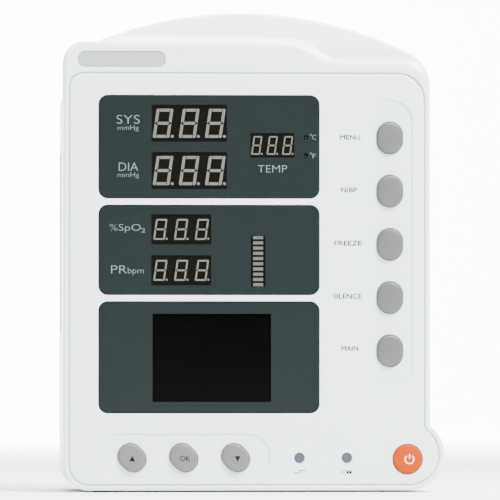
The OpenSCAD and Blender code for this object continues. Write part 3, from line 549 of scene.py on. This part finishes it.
# Edge of the front panel: the case's first three arcs with their radii less the rim, or plus it
# on the hollow one, and top corners of its own.
def panelArcs(look, caseLook):
    arcs = [list(arc) for arc in caseArcs(caseLook)]
    left, right = caseLook["left"] + look["rim"], caseLook["right"] - look["rim"]
    for i, sign in ((0, -1), (1, -1), (2, 1)):
        arcs[i][2] += sign * look["rim"]
    topRight = [right - look["cornerRight"], look["top"] - look["cornerRight"],
                look["cornerRight"], 0, 90]
    topLeft = [left + look["cornerLeft"], look["top"] - look["cornerLeft"],
               look["cornerLeft"], 90, 180]
    return arcs[:3] + [topRight, topLeft]


# Inner loop that keeps one point for each point of the outer one. A point beside the panel moves
# in along its normal. One above it goes to the panel's top edge at the same share of the width,
# and dips there by radius - sqrt(radius squared - distance squared) at the corners.
def matchedInner(outer, look, caseLook, inset):
    points, normals = outer
    moved = points - normals * (look["rim"] + inset)
    left, right = caseLook["left"] + look["rim"] + inset, caseLook["right"] - look["rim"] - inset
    top = look["top"] - inset
    high = points[:, 1] > top - look["cornerRight"]
    share = (points[:, 0] - points[high, 0].min()) / np.ptp(points[high, 0])
    x = left + share * (right - left)
    rounding = np.where(x < left + look["cornerLeft"], look["cornerLeft"], look["cornerRight"])
    fromSide = np.minimum(x - left, right - x)
    dip = np.where(fromSide < rounding,
                   rounding - np.sqrt(np.maximum(rounding ** 2 - (rounding - fromSide) ** 2, 0)), 0)
    moved[high] = np.stack([x, top - dip], axis=1)[high]
    return moved


casePath = tracePath(caseArcs(caseShape), stepMm=1.0)
panelPath = tracePath(panelArcs(panelShape, caseShape), stepMm=1.0)


# Envelope of the front shell: rings from inside the panel opening out over the forehead to the
# rounded edge, then straight back.
def shellEnvelope():
    outer = casePath
    inner = matchedInner(outer, panelShape, caseShape, caseShape["overlap"])
    edge, skinMm, face = caseShape["edge"], caseShape["skin"], caseShape["face"]
    brink = outer[0] - outer[1] * (edge + skinMm)
    loops = []
    for share in np.linspace(0, 1, caseShape["rings"] + 1):
        x, z = (inner + (brink - inner) * share).T
        loops.append(place(x, z, face + archDepth(x, z, archLook)))
    for angle in np.linspace(0, math.pi / 2, caseShape["roundSteps"] + 1)[1:]:
        x, z = (outer[0] - outer[1] * (skinMm + edge * (1 - math.sin(angle)))).T
        loops.append(place(x, z, face + archDepth(x, z, archLook) + edge * (1 - math.cos(angle))))
    for depth in caseShape["wallDepths"]:
        loops.append(loopAt(outer, skinMm, depth))
    return skin("front_envelope", loops)


# The lens is smaller than its node by the flange, which lies behind the case. Its opening is
# wider than the lens by the slack.
alarmLook = {"flange": 2.2, "corner": 3.3, "edge": 0.35, "skin": 0.02, "face": 0.01,
             "back": 2.9, "slack": 0.2, "openingCorner": 3.4, "openingRound": 0.3, "gap": 0.08,
             "gapDepths": (0.9, 2.9), "flangeOut": 2, "flangeDepths": (2.5, 6)}
alarmLow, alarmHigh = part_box("alarm_lens")
alarmX, alarmZ = centreOf("alarm_lens")
alarmWide = (alarmHigh.x - alarmLow.x) / mm - alarmLook["flange"]
alarmTall = (alarmHigh.z - alarmLow.z) / mm - alarmLook["flange"]

frontShell = copyNode("front_shell")
carve(frontShell, [shellEnvelope()], "INTERSECT")
groovePath = (panelPath[0] + panelPath[1] * grooveLook["outward"], panelPath[1])
alarmOpening = roundedPath(alarmX, alarmZ, alarmWide + alarmLook["slack"],
                           alarmTall + alarmLook["slack"], alarmLook["openingCorner"], 0.5)
carve(frontShell, [
    cornerRing("groove_outer", groovePath, caseShape["face"], grooveLook["radius"]),
    cornerRing("alarm_rim", alarmOpening, caseShape["face"], alarmLook["openingRound"])])
finishPiece(frontShell, "front_shell_moulding", "housing", "case_plastic", "front_shell")
print("front shell", len(frontShell.data.polygons), "faces")


# Caps by kind, in millimetres: a rounded edge and a low crown on an oval of two half rounds.
keyLook = {
    "side": {"radius": 6.2, "half": 1.45, "angle": 90, "edge": 1.3, "crown": 0.3},
    "nav": {"radius": 5.85, "half": 1.35, "angle": -45, "edge": 1.1, "crown": 0.3},
    "power": {"radius": 7.15, "half": 0.0, "angle": 0, "edge": 1.2, "crown": 0.35}}
keyKinds = {"menu": "side", "nibp": "side", "freeze": "side", "silence": "side", "main": "side",
            "up": "nav", "ok": "nav", "down": "nav", "power": "power"}


# Outline of a key grown by a margin: an oval, or a circle when it has no straight part.
def keyPath(look, x, z, grow=0.0):
    if look["half"] > 0:
        return ovalPath(x, z, look["radius"] + grow, look["half"], look["angle"], 0.6)
    return tracePath([(x, z, look["radius"] + grow, 0, 360)], 0.6)


# Radii of the panel's edges and openings. The band closes the groove down to its floor.
panelLook = {
    "edge": 1.0, "skin": 0.16, "face": 0.02, "back": 13, "windowEdge": 0.45, "windowCorner": 4.6,
    "windowSlack": 0.2, "recessEdge": 0.78, "holeEdge": 0.25, "holeSlack": 0.25,
    "lampInset": 3.4, "lampRadius": 2.6, "bandReach": 0.26, "bandDepths": (1.6, 2.9)}
# Recesses round the keys: centre x, centre z, end radius, half the straight run and its angle.
recesses = {"side": (66.1, 119.7, 10.79, 59.6, 90), "nav": (-34.2, 16.9, 10.59, 31.15, 0)}
recessDepth = 0.815  # a hair behind the recess floor, so a hole's round meets it in one line
windowNames = ["window_upper", "window_middle", "window_lower"]


# Ring that rounds an opening in the panel's face.
def faceRound(name, path, radius, depth=panelLook["face"]):
    return cornerRing(name, path, depth, radius)


frontPanel = copyNode("front_panel")
carve(frontPanel, [roundedSolid("panel_envelope", panelPath, panelLook["face"], panelLook["back"],
                                panelLook["edge"], panelLook["skin"])], "INTERSECT")
cutters = []
for name in windowNames:
    low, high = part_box(name)
    x, z = centreOf(name)
    slack = panelLook["windowSlack"]
    path = roundedPath(x, z, (high.x - low.x) / mm + slack, (high.z - low.z) / mm + slack,
                       panelLook["windowCorner"], 0.8)
    cutters.append(faceRound(name + "_rim", path, panelLook["windowEdge"]))
for name, (x, z, radius, half, angle) in recesses.items():
    cutters.append(faceRound(name + "_recess_rim", ovalPath(x, z, radius, half, angle),
                             panelLook["recessEdge"]))
for name, kind in keyKinds.items():
    x, z = centreOf("key_" + name)
    depth = panelLook["face"] if kind == "power" else recessDepth
    path = keyPath(keyLook[kind], x, z, panelLook["holeSlack"])
    cutters.append(faceRound(name + "_hole_rim", path, panelLook["holeEdge"], depth))
lampLow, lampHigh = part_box("lamp_lenses")
lampZ = centreOf("lamp_lenses")[1]
for x in (lampLow.x / mm + panelLook["lampInset"], lampHigh.x / mm - panelLook["lampInset"]):
    path = tracePath([(x, lampZ, panelLook["lampRadius"], 0, 360)], 0.4)
    cutters.append(faceRound("lamp_rim", path, panelLook["holeEdge"]))
carve(frontPanel, cutters)
carve(frontPanel, [gapBand("panel_band", panelPath, panelLook["bandReach"],
                           *panelLook["bandDepths"])], "UNION")
finishPiece(frontPanel, "front_panel_moulding", "housing", "panel_plastic", "front_panel")
print("front panel", len(frontPanel.data.polygons), "faces")


rearLook = {"edge": 4.0, "corner": 12.5, "skin": 0.06, "back": 0.02, "frontOver": 1,
            "wallDepths": (50, 75), "roundSteps": 8}
rearLow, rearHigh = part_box("rear_shell")
rearX, rearZ = centreOf("rear_shell")
rearWide, rearTall = (rearHigh.x - rearLow.x) / mm, (rearHigh.z - rearLow.z) / mm
rearFront, rearBack = (rearLow.y - faceY) / mm, (rearHigh.y - faceY) / mm
rearPath = roundedPath(rearX, rearZ, rearWide, rearTall, rearLook["corner"])


# Envelope of the rear shell: straight walls, then a quarter round at the back, where for an
# angle a the inset is edge x (1 - cos a) and the depth grows by edge x sin a.
def rearEnvelope():
    edge, skinMm = rearLook["edge"], rearLook["skin"]
    loops = [loopAt(rearPath, skinMm, rearFront - rearLook["frontOver"])]
    for depth in (*rearLook["wallDepths"], rearBack - edge):
        loops.append(loopAt(rearPath, skinMm, depth))
    for angle in np.linspace(0, math.pi / 2, rearLook["roundSteps"] + 1)[1:]:
        loops.append(loopAt(rearPath, skinMm + edge * (1 - math.cos(angle)),
                            rearBack - edge - rearLook["back"] + edge * math.sin(angle)))
    return skin("rear_envelope", loops)


rearShell = copyNode("rear_shell")
carve(rearShell, [rearEnvelope()], "INTERSECT")
finishPiece(rearShell, "rear_shell_moulding", "housing", "case_plastic", "rear_shell")
print("rear shell", len(rearShell.data.polygons), "faces")


plateLook = {"corner": 4.5, "edge": 0.15, "skin": 0.02, "face": 0.01, "thick": 3}
for name in windowNames:
    low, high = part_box(name)
    x, z = centreOf(name)
    path = roundedPath(x, z, (high.x - low.x) / mm, (high.z - low.z) / mm,
                       plateLook["corner"], 0.8)
    plate = copyNode(name)
    front = (low.y - faceY) / mm
    carve(plate, [roundedSolid(name + "_envelope", path, front + plateLook["face"],
                               front + plateLook["thick"], plateLook["edge"],
                               plateLook["skin"])], "INTERSECT")
    finishPiece(plate, name + "_plate", "housing", "window_acrylic", name)
print("window plates done")


# The cap is cut to its dome, and the flange behind it keeps its own wider outline.
capLook = {"face": 0.01, "skin": 0.02, "back": 2.9, "crownShare": 0.97, "flange": 1.0,
           "flangeDepths": (2.5, 9)}
for name, kind in keyKinds.items():
    look = keyLook[kind]
    x, z = centreOf("key_" + name)
    front = (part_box("key_" + name)[0].y - faceY) / mm
    key = copyNode("key_" + name)
    tool = roundedSolid(name + "_dome", keyPath(look, x, z), front + capLook["face"],
                        capLook["back"], look["edge"], capLook["skin"], look["crown"],
                        look["radius"] * capLook["crownShare"])
    flangePath = keyPath(look, x, z, capLook["flange"])
    flange = skin(name + "_back", [loopAt(flangePath, 0, depth)
                                   for depth in capLook["flangeDepths"]])
    carve(tool, [flange], "UNION")
    carve(key, [tool], "INTERSECT")
    finishPiece(key, name + "_key_cap", name + "_key", slotOf["key_" + name], "key_" + name)
print("keys done")


alarmLens = copyNode("alarm_lens")
alarmFront = (alarmLow.y - faceY) / mm
alarmPath = roundedPath(alarmX, alarmZ, alarmWide, alarmTall, alarmLook["corner"], 0.5)
alarmTool = roundedSolid("alarm_envelope", alarmPath, alarmFront + alarmLook["face"],
                         alarmLook["back"], alarmLook["edge"], alarmLook["skin"])
carve(alarmLens, [gapBand("alarm_band", alarmPath, alarmLook["gap"], *alarmLook["gapDepths"])],
      "UNION")
carve(alarmTool, [skin("alarm_flange", [loopAt(alarmPath, -alarmLook["flangeOut"], depth)
                                        for depth in alarmLook["flangeDepths"]])], "UNION")
carve(alarmLens, [alarmTool], "INTERSECT")
finishPiece(alarmLens, "alarm_light_lens", "housing", "alarm_lens_plastic", "alarm_lens")
print("alarm lens", len(alarmLens.data.polygons), "faces")


printThick = 0.05  # millimetres of ink, half of it proud of the depth it is laid at


# A line of plain lettering, made a mesh and then fitted to a box given as left, right, bottom
# and top in millimetres: each point keeps its share of the mesh's own width and height.
def lettering(text, box, depth, weight=-0.02):
    curve = bpy.data.curves.new("lettering", "FONT")
    curve.body = text
    curve.extrude = 0.5
    curve.resolution_u = 4
    curve.offset = min(weight, 0)  # a weight below zero slims the strokes
    curve.bevel_depth = max(weight, 0)  # and one above zero widens them
    curve.bevel_resolution = 0
    holder = bpy.data.objects.new("lettering", curve)
    bpy.context.scene.collection.objects.link(holder)
    bpy.context.view_layer.update()
    graph = bpy.context.evaluated_depsgraph_get()
    mesh = bpy.data.meshes.new_from_object(holder.evaluated_get(graph))
    bpy.data.objects.remove(holder)
    count = len(mesh.vertices)
    flat = np.empty(count * 3)
    mesh.vertices.foreach_get("co", flat)
    flat = flat.reshape(-1, 3)
    low, high = flat.min(0), flat.max(0)
    share = (flat - low) / (high - low)
    x = box[0] + share[:, 0] * (box[1] - box[0])
    z = box[2] + share[:, 1] * (box[3] - box[2])
    spots = place(x, z, depth + printThick * (0.5 - share[:, 2]))
    mesh.vertices.foreach_set("co", spots.ravel())
    mesh.update()
    return mesh


# Closed flat shape such as an arrow or a strip: its outline half the ink's thickness before the
# depth and half of it behind, with a wall between.
def plateShape(outline, depth):
    x, z = np.array(outline).T
    n = len(x)
    verts = np.concatenate([place(x, z, depth - printThick / 2),
                            place(x, z, depth + printThick / 2)])
    here, beside = np.arange(n), (np.arange(n) + 1) % n
    faces = [here.tolist(), (here[::-1] + n).tolist()]
    faces += np.stack([here, here + n, beside + n, beside], axis=-1).tolist()
    mesh = bpy.data.meshes.new("mark")
    mesh.from_pydata(verts, [], faces)
    mesh.update()
    return mesh


# Rectangle from left, right, bottom and top.
def barShape(left, right, low, high, depth):
    return plateShape([(left, low), (right, low), (right, high), (left, high)], depth)


# Strip of even width along a line of points: each point plus and minus half the width, square
# to the line's run there.
def stripOutline(line, width):
    run = np.gradient(line, axis=0)
    run /= np.linalg.norm(run, axis=1)[:, None]
    side = np.stack([-run[:, 1], run[:, 0]], axis=1) * width / 2
    return np.concatenate([line - side, (line + side)[::-1]])


# Joins meshes into one printed piece, with its doubles merged and its faces turned outwards.
def printPiece(name, meshes, body, material):
    work = bmesh.new()
    for mesh in meshes:
        work.from_mesh(mesh)
        bpy.data.meshes.remove(mesh)
    bmesh.ops.remove_doubles(work, verts=work.verts, dist=1e-7)
    bmesh.ops.recalc_face_normals(work, faces=work.faces)
    whole = bpy.data.meshes.new(name)
    work.to_mesh(whole)
    work.free()
    piece = bpy.data.objects.new(name, whole)
    bpy.context.scene.collection.objects.link(piece)
    piece.data.materials.append(material)
    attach(piece, body)
    return piece


plateFront = (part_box("window_upper")[0].y - faceY) / mm
# Each label's words and its left, right, bottom and top.
plateLabels = [
    ("SYS", (-66.9, -55.7, 178.3, 182.4)), ("mmHg", (-66.4, -56.2, 174.5, 177.4)),
    ("DIA", (-65.8, -56.5, 155.4, 159.3)), ("mmHg", (-66.4, -56.0, 151.6, 154.5)),
    ("TEMP", (1.8, 16.0, 154.7, 158.1)),
    ("%SpO", (-70.2, -55.2, 125.2, 129.4)), ("2", (-54.9, -53.0, 125.4, 127.4)),
    ("PR", (-69.5, -62.0, 105.5, 109.3)), ("bpm", (-61.4, -53.8, 104.6, 108.3)),
    ("o", (27.1, 28.1, 172.5, 173.5)), ("C", (28.3, 30.2, 170.7, 172.9)),
    ("o", (27.1, 28.1, 163.4, 164.4)), ("F", (28.5, 30.1, 161.6, 163.8))]
printPiece("window_lettering", [lettering(text, box, plateFront) for text, box in plateLabels],
           "housing", plateInk)

panelLabels = [
    ("MENU", (41.8, 51.7, 170.6, 173.0)), ("NIBP", (42.3, 50.2, 145.0, 147.4)),
    ("FREEZE", (39.0, 52.4, 119.1, 121.5)), ("SILENCE", (38.4, 52.4, 93.2, 95.8)),
    ("MAIN", (42.4, 50.7, 67.9, 70.3))]
# The mains wave is one turn of a sine, and the battery is four sides, its knob and two cells.
signLook = {"labelWeight": 0.022, "waveX": 22.1, "waveZ": 9.2, "waveHalf": 2.6, "waveRise": 0.75,
            "waveWidth": 0.45, "batteryX": 45.3, "batteryZ": 8.9}
batteryBars = [(-2.4, 2.4, 0.75, 0.95), (-2.4, 2.4, -0.95, -0.75), (-2.4, -2.2, -0.75, 0.75),
               (2.2, 2.4, -0.75, 0.75), (-2.9, -2.4, -0.35, 0.35), (0.9, 2.0, -0.6, 0.6),
               (-0.5, 0.6, -0.6, 0.6)]
panelMarks = [lettering(text, box, panelLook["face"], signLook["labelWeight"])
              for text, box in panelLabels]
share = np.linspace(-1, 1, 25)
wave = np.stack([signLook["waveX"] + share * signLook["waveHalf"],
                 signLook["waveZ"] + signLook["waveRise"] * np.sin(share * math.pi)], axis=1)
panelMarks.append(plateShape(stripOutline(wave, signLook["waveWidth"]), panelLook["face"]))
batteryX, batteryZ = signLook["batteryX"], signLook["batteryZ"]
panelMarks += [barShape(batteryX + left, batteryX + right, batteryZ + low, batteryZ + high,
                        panelLook["face"]) for left, right, low, high in batteryBars]
printPiece("panel_lettering", panelMarks, "housing", panelInk)

# Marks on the keys, measured from each key's centre. The power sign is an arc from 128 degrees
# round to 412 with a bar through its gap.
markLook = {"face": 0.02, "up": [(-1.35, -1.75), (1.55, -1.75), (0.1, 0.95)],
            "down": [(-0.55, 0.8), (0.9, -1.9), (2.3, 0.8)], "okBox": (-1.9, 3.0, -1.7, 1.0),
            "okWeight": 0.012, "ringTurns": (128, 412), "ringRadius": 2.1, "ringX": 0.8,
            "ringZ": 0.1, "ringWidth": 0.5, "bar": (0.55, 1.05, 0.2, 2.5)}
markDepth = (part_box("key_ok")[0].y - faceY) / mm + markLook["face"]
for name in ("up", "down"):
    x, z = centreOf("key_" + name)
    arrow = plateShape([(x + dx, z + dz) for dx, dz in markLook[name]], markDepth)
    printPiece(name + "_arrow", [arrow], name + "_key", keyInk)
x, z = centreOf("key_ok")
left, right, low, high = markLook["okBox"]
okMark = lettering("OK", (x + left, x + right, z + low, z + high), markDepth,
                   markLook["okWeight"])
printPiece("ok_lettering", [okMark], "ok_key", keyInk)
x, z = centreOf("key_power")
left, right, low, high = markLook["bar"]
turns = np.radians(np.linspace(*markLook["ringTurns"], 40))
ringLine = np.stack([x + markLook["ringX"] + markLook["ringRadius"] * np.cos(turns),
                     z + markLook["ringRadius"] * np.sin(turns) - markLook["ringZ"]], axis=1)
printPiece("power_sign", [plateShape(stripOutline(ringLine, markLook["ringWidth"]), markDepth),
                          barShape(x + left, x + right, z + low, z + high, markDepth)],
           "power_key", powerInk)
print("lettering done")


cameraLook = {"turn": -2.8, "rise": -1.2, "distance": 3.0, "aimX": -2.05, "aimZ": 116.9,
              "viewMm": 243.0, "sensorMm": 36.0}
# Square softboxes: watts, size, place and the point they face, in metres.
softboxes = {
    "key light": (242.0, 0.8, (1.1, -1.5, 2.0), (0, 0, 0.12)),
    "fill light": (2.0, 1.4, (-1.6, -1.8, 0.7), (0, 0, 0.12)),
    "top light": (150.0, 1.4, (0.1, -0.1, 1.9), (0, 0, 0.12)),
    "wall light": (1100.0, 1.5, (0, 2.6, 2.2), (0, 5, 0.3))}
worldLook = {"colour": "#F6FAFF", "strength": 0.2}
backdropLook = {"near": -6.0, "bend": 4.0, "radius": 1.0, "top": 4.0, "half": 6.0,
                "colour": "#F6F6F5", "tint": "#F2F2F2", "rough": 0.9, "mottleScale": 3.0}


# Camera on a line from its aim, turned round by one angle and raised by the other. The lens is
# the sensor times the distance over the width that the view takes in.
def addCamera(look):
    data = bpy.data.cameras.new("camera")
    data.sensor_width = look["sensorMm"]
    data.lens = look["sensorMm"] * look["distance"] / (look["viewMm"] * mm)
    camera = bpy.data.objects.new("camera", data)
    bpy.context.scene.collection.objects.link(camera)
    aim = Vector((look["aimX"] * mm, faceY, caseBottom + look["aimZ"] * mm))
    turn, rise = math.radians(look["turn"]), math.radians(look["rise"])
    away = Vector((math.sin(turn) * math.cos(rise), -math.cos(turn) * math.cos(rise),
                   math.sin(rise)))
    camera.location = aim + away * look["distance"]
    camera.rotation_euler = (-away).to_track_quat("-Z", "Y").to_euler()
    bpy.context.scene.camera = camera


# Square light at a spot, turned to face its aim.
def addSoftbox(name, watts, size, spot, aim):
    data = bpy.data.lights.new(name, "AREA")
    data.shape = "SQUARE"
    data.size = size
    data.energy = watts
    light = bpy.data.objects.new(name, data)
    bpy.context.scene.collection.objects.link(light)
    light.location = spot
    light.rotation_euler = (Vector(aim) - Vector(spot)).to_track_quat("-Z", "Y").to_euler()


# Pale floor that rises into a wall far behind: a flat run, a quarter round, an upright run.
# On the round, for an angle a, the run grows by radius x sin a and the height by
# radius x (1 - cos a).
def addBackdrop(look):
    bend, radius = look["bend"], look["radius"]
    angle = np.linspace(0, math.pi / 2, 12)[1:]
    rounding = np.stack([bend + radius * np.sin(angle), radius - radius * np.cos(angle)], axis=1)
    run = np.concatenate([[(look["near"], 0.0), (0.0, 0.0), (bend, 0.0)], rounding,
                          [(bend + radius, look["top"])]])
    across = np.array([-look["half"], look["half"]])
    grid = np.stack([np.repeat(across[None, :], len(run), axis=0),
                     np.repeat(run[:, :1], 2, axis=1), np.repeat(run[:, 1:], 2, axis=1)], axis=-1)
    faces = [[2 * i, 2 * i + 1, 2 * i + 3, 2 * i + 2] for i in range(len(run) - 1)]
    floor = meshObject("floor", grid, faces)
    material, tree, shader, where = newMaterial("matt paper", {"Roughness": look["rough"]})
    mottle = addNode(tree, "ShaderNodeTexNoise", None,
                     {"Vector": where, "Scale": look["mottleScale"]})
    tone = addNode(tree, "ShaderNodeMix", {"data_type": "RGBA"},
                   {"Factor": mottle.outputs["Fac"], "A": linear(look["colour"]),
                    "B": linear(look["tint"])})
    tree.links.new(tone.outputs["Result"], shader.inputs["Base Color"])
    floor.data.materials.append(material)


addCamera(cameraLook)
addBackdrop(backdropLook)
for name, values in softboxes.items():
    addSoftbox(name, *values)
world = bpy.data.worlds.new("studio")
bpy.context.scene.world = world
world.use_nodes = True
background = world.node_tree.nodes["Background"]
background.inputs["Color"].default_value = linear(worldLook["colour"])
background.inputs["Strength"].default_value = worldLook["strength"]
print("studio done")
